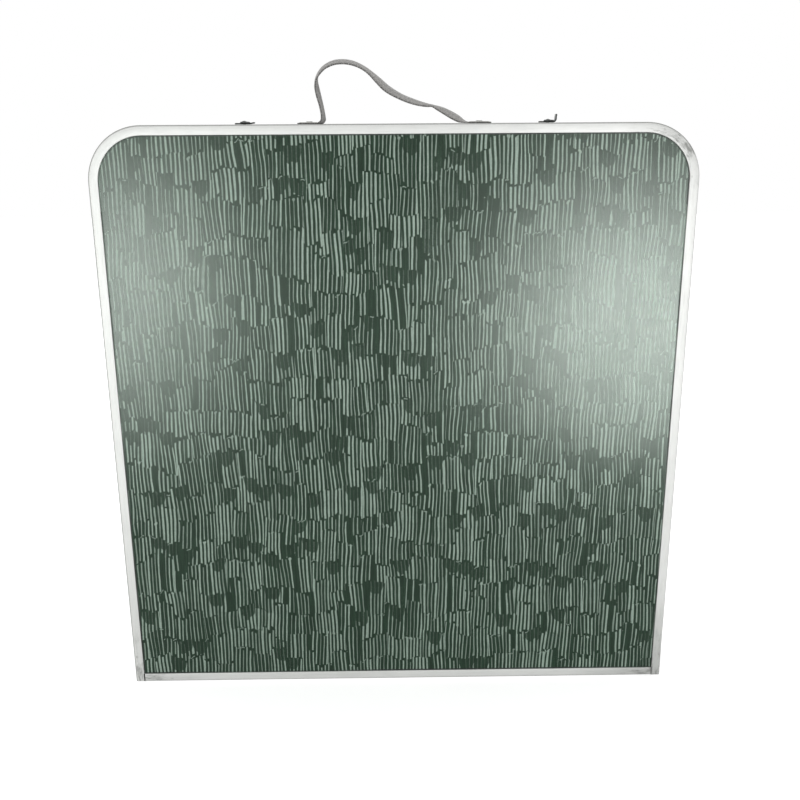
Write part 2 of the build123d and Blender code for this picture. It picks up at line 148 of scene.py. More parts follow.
class FittingSettings(bpy.types.PropertyGroup):
    zinc_colour: colour_setting(
        name="Zinc", description="Colour of the zinc plated steel", default=(0.55, 0.55, 0.53))
    tube_colour: colour_setting(
        name="Tube", description="Colour of the drawn aluminium legs", default=(0.66, 0.66, 0.66))
    latch_colour: colour_setting(
        name="Latch", description="Colour of the blackened latches", default=(0.016, 0.019, 0.018))
    plastic_colour: colour_setting(
        name="Plastic", description="Colour of the collars and leg rests", default=(0.055, 0.057, 0.060))
    rubber_colour: colour_setting(
        name="Rubber", description="Colour of the feet", default=(0.022, 0.022, 0.022))
    board_colour: colour_setting(
        name="Hardboard", description="Colour of the back of the panel", default=(0.235, 0.125, 0.058))
    batten_colour: colour_setting(
        name="Batten", description="Colour of the softwood batten", default=(0.520, 0.345, 0.175))


class StageSettings(bpy.types.PropertyGroup):
    focal_length: FloatProperty(
        name="Focal length", description="Focal length on a 36 mm wide sensor",
        default=41.69, min=10, unit="CAMERA")
    floor_size: length_setting(
        name="Floor", description="Width of the floor", default=12.0, min=2)
    ambient: FloatProperty(
        name="Ambient", description="Strength of the even light from all round", default=0.85, min=0)
    glare_strength: FloatProperty(
        name="Softbox", description="Power of the larger softbox that the panel mirrors",
        default=77.0, min=0)


class CardTableSettings(bpy.types.PropertyGroup):
    edging: PointerProperty(type=EdgingSettings)
    laminate: PointerProperty(type=LaminateSettings)
    strap: PointerProperty(type=StrapSettings)
    fittings: PointerProperty(type=FittingSettings)
    stage: PointerProperty(type=StageSettings)


# Shader wiring

def math_node(operation, turned=False):
    """A method that adds a Math node for its values, or for its values in turned order."""
    def joined(self, *others):
        values = (self, *others)
        return self.wiring.calculate(operation, *(values[::-1] if turned else values))
    return joined


class Value:
    """What a node puts out. Signs between values add Math nodes, so a pattern is a formula."""

    def __init__(self, wiring, socket):
        self.wiring, self.socket = wiring, socket

    __add__, __radd__ = math_node("ADD"), math_node("ADD", turned=True)
    __sub__, __rsub__ = math_node("SUBTRACT"), math_node("SUBTRACT", turned=True)
    __truediv__, __rtruediv__ = math_node("DIVIDE"), math_node("DIVIDE", turned=True)
    __mul__, __pow__, __abs__ = math_node("MULTIPLY"), math_node("POWER"), math_node("ABSOLUTE")
    __gt__, __lt__ = math_node("GREATER_THAN"), math_node("LESS_THAN")
    floor, fraction = math_node("FLOOR"), math_node("FRACT")

    def clamped(self):
        """The same value, held between none and one by its own Math node."""
        self.socket.node.use_clamp = True
        return self


class Node:
    """A shader node: reading a name gives that output, and setting one feeds that input."""

    def __init__(self, wiring, node):
        self.wiring, self.node = wiring, node

    def __getitem__(self, key):
        return Value(self.wiring, self.node.outputs[key])

    def __setitem__(self, key, value):
        if isinstance(value, Value):
            self.wiring.tree.links.new(value.socket, self.node.inputs[key])
        else:
            self.node.inputs[key].default_value = value


class Wiring:
    """Adds shader nodes to one tree and joins them."""

    def __init__(self, tree):
        self.tree = tree

    def existing(self, name):
        """A node that the tree has from its start."""
        return Node(self, self.tree.nodes[name])

    def add(self, kind, feeds=None, **settings):
        """A new node with its settings, whose inputs are fed."""
        node = Node(self, self.tree.nodes.new("ShaderNode" + kind))
        for key, value in settings.items():
            setattr(node.node, key, value)
        for key, value in (feeds or {}).items():
            node[key] = value
        return node

    def calculate(self, operation, *values):
        """One Math node."""
        return self.add("Math", dict(enumerate(values)), operation=operation)[0]

    def larger(self, first, second):
        """The larger of two values."""
        return self.calculate("MAXIMUM", first, second)

    def smaller(self, first, second):
        """The smaller of two values."""
        return self.calculate("MINIMUM", first, second)

    def ramp(self, value, start, end, low=0.0, high=1.0):
        """A smooth step from low to high while the value goes from start to end."""
        feeds = {0: value, 1: start, 2: end, 3: low, 4: high}
        return self.add("MapRange", feeds, interpolation_type="SMOOTHSTEP")[0]

    def fade(self, value, start, end, high=1.0):
        """A smooth step down to nothing while the value goes from start to end."""
        return self.ramp(value, start, end, high, 0.0)

    def vector(self, x=0.0, y=0.0, z=0.0):
        """A vector of three values."""
        return self.add("CombineXYZ", {0: x, 1: y, 2: z})[0]

    def parts(self, vector):
        """The three values of a vector or a colour."""
        parted = self.add("SeparateXYZ", {0: vector})
        return [parted[number] for number in range(3)]

    def scaled(self, vector, factors):
        """A vector with its three values multiplied."""
        return self.add("VectorMath", {0: vector, 1: factors}, operation="MULTIPLY")[0]

    def distance(self, first, second):
        """The distance between two points."""
        return self.add("VectorMath", {0: first, 1: second}, operation="DISTANCE")["Value"]

    def noise(self, vector, scale, detail=2.0, roughness=0.5):
        """Smooth noise, about a half on average."""
        feeds = {"Vector": vector, "Scale": scale, "Detail": detail, "Roughness": roughness}
        return self.add("TexNoise", feeds)["Fac"]

    def chance(self, x, y=0.0, z=0.0):
        """Three random values that three whole numbers choose."""
        return self.parts(self.add("TexWhiteNoise", {"Vector": self.vector(x, y, z)})["Color"])

    def mix(self, share, first, second):
        """A colour between two colours."""
        return self.add("Mix", {0: share, 6: first, 7: second}, data_type="RGBA")[2]

    def toned(self, colour, tone):
        """A colour multiplied by a factor round one."""
        feeds = {0: 1.0, 6: colour, 7: self.vector(tone, tone, tone)}
        return self.add("Mix", feeds, data_type="RGBA", blend_type="MULTIPLY")[2]

    def raised(self, height, distance):
        """A bump normal whose height goes from nothing to this distance."""
        return self.add("Bump", {"Height": height, "Distance": distance})["Normal"]

    def seen_directly(self):
        """One for rays of the camera and for mirrored and transmitted rays, and else none."""
        paths = self.add("LightPath")
        seen = paths["Is Camera Ray"] + paths["Is Glossy Ray"] + paths["Is Transmission Ray"]
        return seen.clamped()


def shade(colour, factor=1.0, lift=0.0):
    """A colour with its alpha, made lighter or darker."""
    return (*(channel * factor + lift for channel in colour), 1.0)


def new_group(name, inputs, outputs):
    """An empty shader node group that takes a place and these numbers, and its two ends."""
    group = bpy.data.node_groups.new(name, "ShaderNodeTree")
    group.interface.new_socket("Place", in_out="INPUT", socket_type="NodeSocketVector")
    for label, value in inputs.items():
        socket = group.interface.new_socket(label, in_out="INPUT", socket_type="NodeSocketFloat")
        socket.default_value = value
    for label in outputs:
        group.interface.new_socket(label, in_out="OUTPUT", socket_type="NodeSocketFloat")
    w = Wiring(group)
    entry, leave = (Node(w, group.nodes.new(f"NodeGroup{end}")) for end in ("Input", "Output"))
    return group, w, entry, leave


def placed(w, effect, **feeds):
    """A shared effect placed in a material, with its inputs fed by name."""
    named = {label.replace("_", " "): value for label, value in feeds.items()}
    return w.add("Group", named, node_tree=shared(effect))


def new_material(name):
    """A material with its wiring, its Principled shader and its coordinates."""
    material = bpy.data.materials.new(name)
    material.use_nodes = True
    w = Wiring(material.node_tree)
    return material, w, w.existing("Principled BSDF"), w.add("TexCoord")


# Effects that several materials share

def handling_marks():
    """Fine scratches along one direction, cloudy stains and small pits.
    Scratches are noise stretched along the first value of Place. Stains are the high part
    of soft noise, broken by finer noise. Pits are the middles of scattered cells."""
    group, w, entry, leave = new_group(
        "handling_marks", {"Seed": 0.0, "Stain Size": 0.02}, ["Scratches", "Stains", "Pits"])
    scratches_along, scratches_across, pits_each_metre = 28.0, 2600.0, 420.0
    x, y, z = w.parts(entry["Place"])
    across = y + z * 0.7
    fine = w.noise(w.vector(x * scratches_along, across * scratches_across, entry["Seed"]), 1.0, 1.0)
    leave["Scratches"] = w.ramp(fine, 0.50, 0.74)
    stretched = w.scaled(entry["Place"], (0.30, 1.0, 1.0))
    aside = w.vector(entry["Seed"], entry["Seed"], 0.0)
    moved = w.add("VectorMath", {0: stretched, 1: aside}, operation="ADD")[0]
    cloud = w.noise(moved, 1.0 / entry["Stain Size"], 6.0, 0.68)
    leave["Stains"] = w.ramp(cloud, 0.47, 0.70)
    cells = w.add("TexVoronoi", {"Vector": moved, "Scale": pits_each_metre})
    pit = w.fade(cells["Distance"], 0.10, 0.24)
    rare = w.ramp(w.parts(cells["Color"])[0], 0.86, 0.90)
    leave["Pits"] = pit * rare
    return group


def cloudy_tone():
    """A slow change of tone over a surface: soft noise turned into a factor round one."""
    group, w, entry, leave = new_group("cloudy_tone", {"Size": 0.05, "Amount": 0.1}, ["Tone"])
    cloud = w.noise(entry["Place"], 1.0 / entry["Size"], 3.0, 0.55)
    swing = (cloud - 0.5) * entry["Amount"]
    leave["Tone"] = 1.0 + swing * 2.0
    return group


def stroke_print():
    """The hatch printed on the laminate: upright strokes in clusters.
    The height is divided into rows. The line between two rows is a stair: scattered cells
    lift and tilt their part of the line, each by its own amount, and a slow and a quick
    noise along the width make it wavy. A cell and the row below its line are a cluster. The
    width is divided into columns of one pitch, after a slow and a fine noise have bent it
    and each cluster has moved it by its own share. A stroke fills its column from one line
    to the next, less a random gap at both ends. Its width and strength are random for each
    stroke and each cluster, and it leans with its cluster. Some strokes are left out, some
    clusters start with a dark patch in which the strokes are faint, some strokes swell into
    a knot at their top, and some are joined to their neighbour there by a tick."""
    group, w, entry, leave = new_group(
        "stroke_print",
        {"Seed": 0.0, "Pitch": 0.004, "Share": 0.27, "Cluster Width": 0.03, "Cluster Height": 0.03},
        ["Strokes", "Streaks"])
    # Lengths in metres
    slow_bend, fine_bend, waves, jags = 0.008, 0.0014, 0.030, 0.0065
    top_gap_most, low_gap_most = 0.0058, 0.0048
    end_slant, end_curve, end_overlap = 0.0024, 0.0050, 0.0008
    patch_depth, patch_more, knot_place, knot_reach = 0.013, 0.005, 0.0015, 0.0022
    tick_place, tick_rise, tilted = 0.0012, 0.0018, 0.010
    # Shares, and what a random value has to pass
    lifted, moved_most, left_out, patched, knotted, ticked = 0.76, 0.5, 0.035, 0.71, 0.95, 0.93

    seed, pitch, row_height = entry["Seed"], entry["Pitch"], entry["Cluster Height"]
    x, _, z = w.parts(entry["Place"])
    flat = w.vector(x, seed, z * 0.55)
    slow = w.noise(flat, 21.0, 1.0) - 0.5
    fine = w.noise(flat, 85.0, 1.0) - 0.5
    along = (x + (slow * slow_bend + fine * fine_bend)) / pitch
    wave = w.noise(w.vector(along * 0.06, seed), 1.0, 1.0)
    jag = w.noise(w.vector(along * 0.85, seed), 1.0, 0.0)
    height = z + (wave - 0.5) * waves + (jag - 0.5) * jags
    first = (height / row_height).floor()
    in_cells = along * pitch / entry["Cluster Width"]

    def line(row):
        """Height of the line at the foot of this row, with the random values of its cell
        and the place in the cell. Each row and each seed has cells of its own."""
        place = in_cells + (row * 17.31 + seed * 5.7)
        cell = w.add("TexVoronoi", {"W": place, "Scale": 1.0, "Randomness": 0.95},
                     voronoi_dimensions="1D")
        tint = w.parts(cell["Color"])
        aside = place - cell["W"]
        lift = (tint[0] - 0.5) * lifted * row_height
        tilt = aside * (tint[2] - 0.5) * tilted
        return row * row_height + (lift + tilt), tint, aside

    over_first = height > line(first)[0]
    over_second = height > line(first + 1.0)[0]
    row = (first - 1.0) + (over_first + over_second)
    low = line(row)[0]
    top, tint, aside = line(row + 1.0)
    moved = along + (tint[0] * 7.0).fraction() * moved_most
    column = moved.floor()
    across = moved - column - 0.5
    own = w.chance(column, row, seed + 3.0)
    stroke = w.chance(column, row, seed)
    extra = w.chance(column, row, seed + 5.0)

    under, over = top - height, height - low
    slant = across * ((extra[0] - 0.5) * end_slant)
    rounding = across * across * end_curve - end_overlap
    top_gap = stroke[0] ** 4.0 * top_gap_most + (slant + rounding)
    low_gap = stroke[1] ** 4.0 * low_gap_most + (rounding - slant)
    reach = w.ramp(under - top_gap, -0.0002, 0.0003) * w.ramp(over - low_gap, -0.0002, 0.0003)
    depth = (own[1] * patch_more + patch_depth) - abs(aside) ** 4.0 * 0.24
    patch = w.fade(under - depth, -0.0003, 0.0003) * (tint[1] > patched)

    lean = (over - under) * 0.5 * ((tint[2] - 0.5) * 24.0)
    offset = abs(across + lean)
    uneven = w.noise(w.vector(column * 0.37, seed, z * 90.0), 1.0, 1.0)
    weight = (tint[1] * 9.0).fraction()
    full_width = stroke[2] * 0.50 + uneven * 0.60 + (weight * 0.52 + 0.06)
    knot = w.fade(abs(under - knot_place), 0.0, knot_reach, 0.24) * (extra[1] > knotted)
    half = (entry["Share"] * full_width + knot) * (1.0 - patch * 0.3)
    body = w.fade(offset - half, -0.055, 0.055)
    upright = reach * body * (extra[1] > left_out)
    slope = under + across * tick_rise
    tick = w.fade(abs(slope - tick_place), 0.0003, 0.0007) * (extra[2] > ticked)
    strength = w.ramp(stroke[2], 0.0, 0.8, 0.58, 1.0) * (1.0 - patch * 0.80)
    leave["Strokes"] = w.larger(upright * strength, tick * 0.75)
    leave["Streaks"] = w.noise(w.vector(along * 2.1, seed, z * 34.0), 1.0, 2.0)
    return group


def lip_distance():
    """Distance inwards from the lip over the laminate: the lip is a rectangle whose two upper
    corners are rounded, so the distance is that to a straight side or to a corner's arc."""
    group, w, entry, leave = new_group("lip_distance", {}, ["Distance"])
    x, _, z = w.parts(entry["Place"])
    inset, radius = EDGING_LIP, CORNER_RADIUS - EDGING_LIP
    side, top = FRAME_HIGH.x - inset, FRAME_HIGH.z - inset
    past_x, past_z = abs(x) - (side - radius), z - (top - radius)
    over_x, over_z = w.larger(past_x, 0.0), w.larger(past_z, 0.0)
    corner = w.calculate("SQRT", over_x ** 2.0 + over_z ** 2.0)
    inside = w.smaller(w.larger(past_x, past_z), 0.0)
    leave["Distance"] = w.smaller(radius - (corner + inside), z - FOLD_LIP)
    return group


EFFECTS = {"marks": handling_marks, "tone": cloudy_tone, "print": stroke_print, "lip": lip_distance}
GROUPS = {}


def shared(effect):
    """A shared effect's node group, built the first time that a material asks for it."""
    if effect not in GROUPS:
        GROUPS[effect] = EFFECTS[effect]()
    return GROUPS[effect]


# Materials

# Where hands have stained the edging most, and the foot of its sides, in metres
HANDLED_CORNER, EDGING_FOOT = (0.276, 0.0, 0.588), (0.300, 0.0, 0.006)
# How far round the edging's section the lip's edge lies from the outer edge, in metres
LIP_EDGE_ROUND = 0.0095
JOINT_SHADOW = (0.012, 0.012, 0.011, 1.0)
# Colour of the grime and painted shade along the lip over the laminate
LIP_GRIME_AND_SHADE = (0.006, 0.008, 0.007, 1.0)
BARE_STEEL = (0.20, 0.21, 0.20, 1.0)


def edging_metal(settings, seed):
    """Satin aluminium edging: drawn lines along it, a speckled grain, handling stains that
    are strong at one corner and at the feet, a colour darker towards the foot of the sides and
    round that corner, and painted shade in thin dark lines along the rounded outer edge and
    along the lip's edge. The piece's UV runs along the rail and round its section, in metres,
    from the middle of the outer edge."""
    material, w, shader, at = new_material(f"satin_edging_{seed}")
    marks = placed(w, "marks", Place=at["UV"], Seed=float(seed), Stain_Size=0.007)
    tone = placed(w, "tone", Place=at["Object"], Size=0.09, Amount=0.08)["Tone"]
    x, _, z = w.parts(at["Object"])
    _, round_section, _ = w.parts(at["UV"])
    handled = w.distance(w.vector(x, 0.0, z), HANDLED_CORNER)
    foot = w.distance(w.vector(abs(x), 0.0, z), EDGING_FOOT)
    worn = w.ramp(handled, 0.012, 0.058, 1.0, 0.07) + w.fade(foot, 0.0, 0.070, 0.80)
    # Darker towards the foot of each side, most on the right side, and round the handled corner
    darker_near_feet_and_corner = w.fade(foot, 0.010, 0.110, 0.48) * w.ramp(x, -0.1, 0.1, 0.25, 1.0)
    darker_near_feet_and_corner = w.larger(darker_near_feet_and_corner, w.fade(handled, 0.0, 0.070, 0.30))
    from_joint = abs(abs(x) - (FRAME_HIGH.x - EDGING_LIP))
    joint = w.fade(from_joint, 0.0003, 0.0011) * (z < FOLD_LIP)
    joint = joint * w.ramp(x, -0.1, 0.1, 1.0, 0.5)
    grain = w.noise(at["Object"], 1500.0, 2.0, 0.6)
    # Painted shade: a thin dark line along the rounded outer edge, weaker along the right side
    rim = w.fade(abs(round_section), 0.0006, 0.0014, 0.80)
    rim = rim * w.ramp(x, 0.285, 0.297, 1.0, 0.4)
    # Painted shade: a thin dark line along the rounded edge of the lip, where it meets the laminate
    lip = w.fade(abs(round_section - LIP_EDGE_ROUND), 0.0002, 0.0007, 0.45)
    stain = (marks["Stains"] * worn).clamped()
    scratches_grain_and_darker_parts = marks["Scratches"] * 0.14 + grain * 0.14 + darker_near_feet_and_corner
    darkening = (stain + scratches_grain_and_darker_parts + marks["Pits"] * worn).clamped()
    # The painted shade of the outer edge and of the lip's edge is laid over the stains and marks here
    darkening = w.larger(darkening, w.larger(rim, lip))
    colour = w.mix(darkening, shade(settings.metal_colour), shade(settings.stain_colour))
    shader["Base Color"] = w.toned(w.mix(joint, colour, JOINT_SHADOW), tone)
    shader["Metallic"] = 1.0
    shader["Roughness"] = settings.roughness + stain * 0.12 + marks["Scratches"] * 0.05
    relief = marks["Scratches"] * 0.25 + marks["Pits"] * -1.0 + grain * 0.5
    shader["Normal"] = w.raised(relief, 0.00002)
    return material


def printed_laminate(settings, seed):
    """Satin melamine printed with pale upright strokes on dark green, with grime and painted shade in a
    thin patchy line along the lip.
    """
    material, w, shader, at = new_material(f"stroke_laminate_{seed}")
    ink = placed(w, "print", Place=at["Object"], Seed=float(seed), Pitch=settings.stroke_pitch,
                 Share=settings.stroke_share, Cluster_Width=settings.cluster_width,
                 Cluster_Height=settings.cluster_height)
    tone = placed(w, "tone", Place=at["Object"], Size=0.12, Amount=0.12)["Tone"]
    x, y, z = w.parts(at["Object"])
    marks = placed(w, "marks", Place=w.vector(z, x, y), Seed=float(seed) + 9.0, Stain_Size=0.05)
    base = w.mix(w.ramp(ink["Streaks"], 0.38, 0.72), shade(settings.ground_colour),
                 shade(settings.ground_colour, 1.5, 0.004))
    printed = w.mix(ink["Strokes"], base, shade(settings.stroke_colour))
    grain = w.noise(at["Object"], 850.0, 2.0, 0.6)
    speckle = (grain - 0.5) * 0.7 + tone
    # Grime and painted shade: a thin, patchy dark line on the laminate along the edging's lip, which
    # also roughens it there
    from_lip = placed(w, "lip", Place=at["Object"])["Distance"]
    patchy = w.ramp(w.noise(at["Object"], 9.0, 3.0), 0.35, 0.62, 0.30, 0.95)
    soil = w.fade(from_lip, 0.0006, 0.0019) * patchy
    shader["Base Color"] = w.mix(soil, w.toned(printed, speckle), LIP_GRIME_AND_SHADE)
    rough = settings.roughness + (grain - 0.5) * 0.16 + soil * 0.35 + ink["Strokes"] * 0.17
    shader["Roughness"] = rough + marks["Stains"] * 0.03
    shader["Specular IOR Level"] = 0.22
    shader["Normal"] = w.raised(grain * 0.8 + marks["Scratches"] * 0.10, 0.00004)
    return material


def woven_webbing(settings):
    """Polyester webbing: the yarns' own tone, soil in the weave and a soft sheen.
    The piece's UV runs along the strap and across it, in metres."""
    material, w, shader, at = new_material("woven_webbing")
    along, across, _ = w.parts(at["UV"])
    number = (across / settings.yarn_width).floor()
    yarn = w.chance(number, 2.0)
    fibres = w.noise(w.vector(along * 260.0, across * 7000.0), 1.0, 2.0)
    soil = w.noise(w.vector(along * 45.0, across * 90.0, 4.0), 1.0, 3.0, 0.6)
    weave = w.calculate("COSINE", along * (2 * math.pi / settings.pick_pitch) + number * math.pi)
    speckle = w.noise(w.vector(along * 520.0, across * 620.0, 9.0), 1.0, 1.0)
    light = yarn[0] * 0.20 + fibres * 0.50 + weave * 0.22 + (speckle - 0.45) * 1.6
    light = light - w.ramp(soil, 0.5, 0.75) * 0.20
    from_edge = w.smaller(across, settings.width - across)
    light = light - w.fade(from_edge, 0.0004, 0.0016, 0.40)
    dark, bright = shade(settings.yarn_colour, 0.35), shade(settings.yarn_colour, 1.75)
    shader["Base Color"] = w.mix((light + 0.20).clamped(), dark, bright)
    shader["Roughness"] = 0.85
    shader["Specular IOR Level"] = 0.25
    shader["Sheen Weight"] = 0.25
    shader["Sheen Roughness"] = 0.5
    shader["Normal"] = w.raised(fibres, 0.00008)
    return material


def plated_metal(name, colour, roughness, stain, seed):
    """Plated or bare metal of a fitting: fine lines, stains and pits in its surface."""
    material, w, shader, at = new_material(name)
    marks = placed(w, "marks", Place=at["Object"], Seed=float(seed), Stain_Size=0.009)
    tone = placed(w, "tone", Place=at["Object"], Size=0.03, Amount=0.16)["Tone"]
    darkening = (marks["Stains"] * stain + marks["Pits"] * 0.6).clamped()
    shader["Base Color"] = w.mix(darkening, w.toned(shade(colour), tone), shade(colour, 0.5))
    shader["Metallic"] = 1.0
    shader["Roughness"] = roughness + darkening * 0.22 + marks["Scratches"] * 0.08
    shader["Normal"] = w.raised(marks["Scratches"] * 0.3 - marks["Pits"], 0.00003)
    return material


def blackened_steel(colour):
    """Blackened latch steel with bare metal showing where it is rubbed."""
    material, w, shader, at = new_material("blackened_steel")
    marks = placed(w, "marks", Place=at["Object"], Seed=21.0, Stain_Size=0.004)
    rubbed = (marks["Scratches"] * 0.3 + marks["Stains"] * 0.35).clamped()
    shader["Base Color"] = w.mix(rubbed, shade(colour), BARE_STEEL)
    shader["Metallic"] = 0.7
    shader["Roughness"] = 0.48 - rubbed * 0.12
    shader["Normal"] = w.raised(marks["Scratches"] + marks["Pits"], 0.00004)
    return material


def pressed_hardboard(colour):
    """Brown hardboard with the wire screen's mark pressed into its back, and matted fibres."""
    material, w, shader, at = new_material("pressed_hardboard")
    wires_turn = 2900.0
    x, _, z = w.parts(at["Object"])
    wires = w.calculate("SINE", x * wires_turn) * w.calculate("SINE", z * wires_turn)
    fibres = w.noise(w.scaled(at["Object"], (1.0, 1.0, 0.5)), 900.0, 3.0, 0.65)
    tone = placed(w, "tone", Place=at["Object"], Size=0.07, Amount=0.30)["Tone"]
    light = (fibres * 0.75 + wires * 0.10).clamped()
    shader["Base Color"] = w.toned(w.mix(light, shade(colour, 0.62), shade(colour, 1.5)), tone)
    shader["Roughness"] = w.ramp(fibres, 0.2, 0.8, 0.72, 0.9)
    shader["Normal"] = w.raised(wires * 0.5 + fibres, 0.00018)
    return material


def planed_softwood(colour):
    """Planed softwood: growth lines along the batten, darker late wood and a few knots."""
    material, w, shader, at = new_material("planed_softwood")
    x, y, z = w.parts(at["Object"])
    drift = w.noise(w.vector(x * 2.2, y, z * 9.0), 1.0, 2.0)
    rings = w.calculate("SINE", z * 760.0 + drift * 26.0)
    pores = w.noise(w.vector(x * 30.0, y * 1500.0, z * 1500.0), 1.0, 2.0)
    knots = w.add("TexVoronoi", {"Vector": w.vector(x * 5.5, 0.0, z * 16.0), "Scale": 1.0})["Distance"]
    late = w.ramp(rings, 0.1, 1.0, 0.0, 0.55) + pores * 0.25
    late = (late + w.fade(knots, 0.04, 0.13, 0.6)).clamped()
    shader["Base Color"] = w.mix(late, shade(colour), shade(colour, 0.45))
    shader["Roughness"] = w.ramp(pores, 0.2, 0.8, 0.58, 0.75)
    shader["Normal"] = w.raised(pores + rings * 0.2, 0.00010)
    return material


def moulded(name, colour, roughness, grain_scale):
    """A moulded plastic or rubber with a fine spark grain, dust and scuffs."""
    material, w, shader, at = new_material(name)
    grain = w.noise(at["Object"], grain_scale, 2.0, 0.6)
    marks = placed(w, "marks", Place=at["Object"], Seed=5.0, Stain_Size=0.012)
    scuffed = (marks["Stains"] * 0.25 + marks["Scratches"] * 0.12).clamped()
    shader["Base Color"] = w.mix(scuffed, shade(colour), shade(colour, 1.8, 0.05))
    shader["Roughness"] = roughness + grain * 0.12
    shader["Normal"] = w.raised(grain, 0.00006)
    return material


# Meshes

def new_object(name, data):
    """An object in the scene that shows this mesh, lamp or camera."""
    holder = bpy.data.objects.new(name, data)
    bpy.context.scene.collection.objects.link(holder)
    return holder


def ring_quads(rows, points):
    """Quads between neighbouring rows of a grid whose rows close on themselves."""
    row = np.arange(rows - 1)[:, None] * points
    column = np.arange(points)[None, :]
    near, far = row + column, row + (column + 1) % points
    return np.stack([near, far, far + points, near + points], -1).reshape(-1, 4)


def finished_piece(name, mesh, sharp_angle=0.5):
    """The piece of a closed mesh, with its faces turned outwards and its shading smooth
    where they meet at less than the angle, in radians."""
    shell = bmesh.new()
    shell.from_mesh(mesh)
    bmesh.ops.recalc_face_normals(shell, faces=shell.faces)
    shell.to_mesh(mesh)
    shell.free()
    mesh.shade_smooth()
    mesh.set_sharp_from_angle(angle=sharp_angle)
    return new_object(name, mesh)


def swept_piece(name, grid, along, around, sharp_angle=0.5):
    """A closed skin through a grid of points: rows are stations of the path, and columns go
    round the profile. The first and last rows are closed by flat faces. The UV is the
    distance along the path and the distance round the profile."""
    stations, points, _ = grid.shape
    start = list(range(points))[::-1]
    end = [(stations - 1) * points + i for i in range(points)]
    mesh = bpy.data.meshes.new(name)
    quads = ring_quads(stations, points)
    mesh.from_pydata(grid.reshape(-1, 3).tolist(), [], quads.tolist() + [start, end])
    u, u_next = (np.repeat(end_values, points) for end_values in (along[:-1], along[1:]))
    v, v_next = (np.tile(end_values, stations - 1) for end_values in (around[:-1], around[1:]))
    side = np.stack([u, v, u, v_next, u_next, v_next, u_next, v], -1).reshape(-1)
    caps = np.zeros(2 * 2 * points)
    mesh.uv_layers.new(name="UVMap").data.foreach_set("uv", np.concatenate([side, caps]))
    return finished_piece(name, mesh, sharp_angle)


def turned_piece(name, grid):
    """A closed ring through a grid of points: rows go round the axis, with the last row the
    same as the first, and columns go round the section."""
    rows, points, _ = grid.shape
    mesh = bpy.data.meshes.new(name)
    quads = ring_quads(rows, points) % ((rows - 1) * points)
    mesh.from_pydata(grid[:-1].reshape(-1, 3).tolist(), [], quads.tolist())
    return finished_piece(name, mesh)


def directions(vectors):
    """The same vectors, each with the length one."""
    return vectors / np.linalg.norm(vectors, axis=1)[:, None]


def distance_along(points):
    """Distance of each point from the first, along the line through them."""
    return np.concatenate([[0], np.cumsum(np.linalg.norm(np.diff(points, axis=0), axis=1))])


def distance_round(section):
    """Distance round a closed section from its point nearest the outer edge, with a last
    value for the way back to its first point."""
    around = distance_along(np.concatenate([section, section[:1]]))
    return around - around[np.argmin(np.linalg.norm(section, axis=1))]


def rounded_profile(corners, radii, steps=5):
    """A closed polygon with each corner replaced by an arc of its own radius: the arc starts
    and ends where it leaves the two sides, and its points lie between on a circle."""
    corners = np.asarray(corners, float)
    before = directions(np.roll(corners, 1, 0) - corners)
    after = directions(np.roll(corners, -1, 0) - corners)
    share = np.linspace(0, 1, steps)[:, None]
    points = []
    for corner, back, on, radius in zip(corners, before, after, radii):
        if radius == 0:
            points.append(corner[None])
            continue
        half = math.acos(np.clip(back @ on, -1, 1)) / 2
        reach = radius / math.tan(half)
        centre = corner + (back + on) / np.linalg.norm(back + on) * radius / math.sin(half)
        first, last = corner + back * reach - centre, corner + on * reach - centre
        turn = math.acos(np.clip(first @ last / radius ** 2, -1, 1))
        arc = (np.sin((1 - share) * turn) * first + np.sin(share * turn) * last) / math.sin(turn)
        points.append(centre + arc)
    return np.concatenate(points)


def frame_path(half_width, height, radius):
    """The leaf's outer line: up the left side, round two corners and down the right side.
    Gives its points and its inward directions, with stations close together at the corners
    and at the rounded nose at the foot of each side."""
    foot_stations, side_stations, corner_stations, top_stations = 9, 24, 25, 26
    foot = -FRAME_LOW.y / 2 * (1 - np.cos(np.linspace(0, np.pi / 2, foot_stations)))
    straight = np.linspace(foot[-1], height - radius, side_stations)[1:]
    rise = np.concatenate([foot, straight])
    turn = np.linspace(0, np.pi / 2, corner_stations)[1:]
    run = np.linspace(-half_width + radius, half_width - radius, top_stations)[1:]
    left = np.stack([np.full_like(rise, -half_width), rise], -1)
    left_in = np.tile([1.0, 0.0], (len(rise), 1))
    arc_in = np.stack([np.cos(turn), -np.sin(turn)], -1)
    arc = np.array([-half_width + radius, height - radius]) - radius * arc_in
    top = np.stack([run, np.full_like(run, height)], -1)
    top_in = np.tile([0.0, -1.0], (len(run), 1))

    def both_sides(left, arc, top):
        mirrored = np.array([-1.0, 1.0])
        return np.concatenate([left, arc, top[:-1], (arc * mirrored)[::-1], (left * mirrored)[::-1]])

    return both_sides(left, arc, top), both_sides(left_in, arc_in, top_in)


def leaf_side(points, leaf):
    """Points drawn for the front leaf, turned half round for the rear leaf."""
    return points if leaf == "front" else points * np.array([-1.0, -1.0, 1.0])


def both(*names):
    """Names of the same pieces on the front and the rear leaf."""
    return [f"{leaf}_{name}" for leaf in LEAVES for name in names]


def dress(names, material):
    """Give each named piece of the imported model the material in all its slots."""
    for name in names:
        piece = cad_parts[name]
        if not piece.material_slots:
            piece.data.materials.append(material)
        for place in piece.material_slots:
            place.material = material


# The pieces

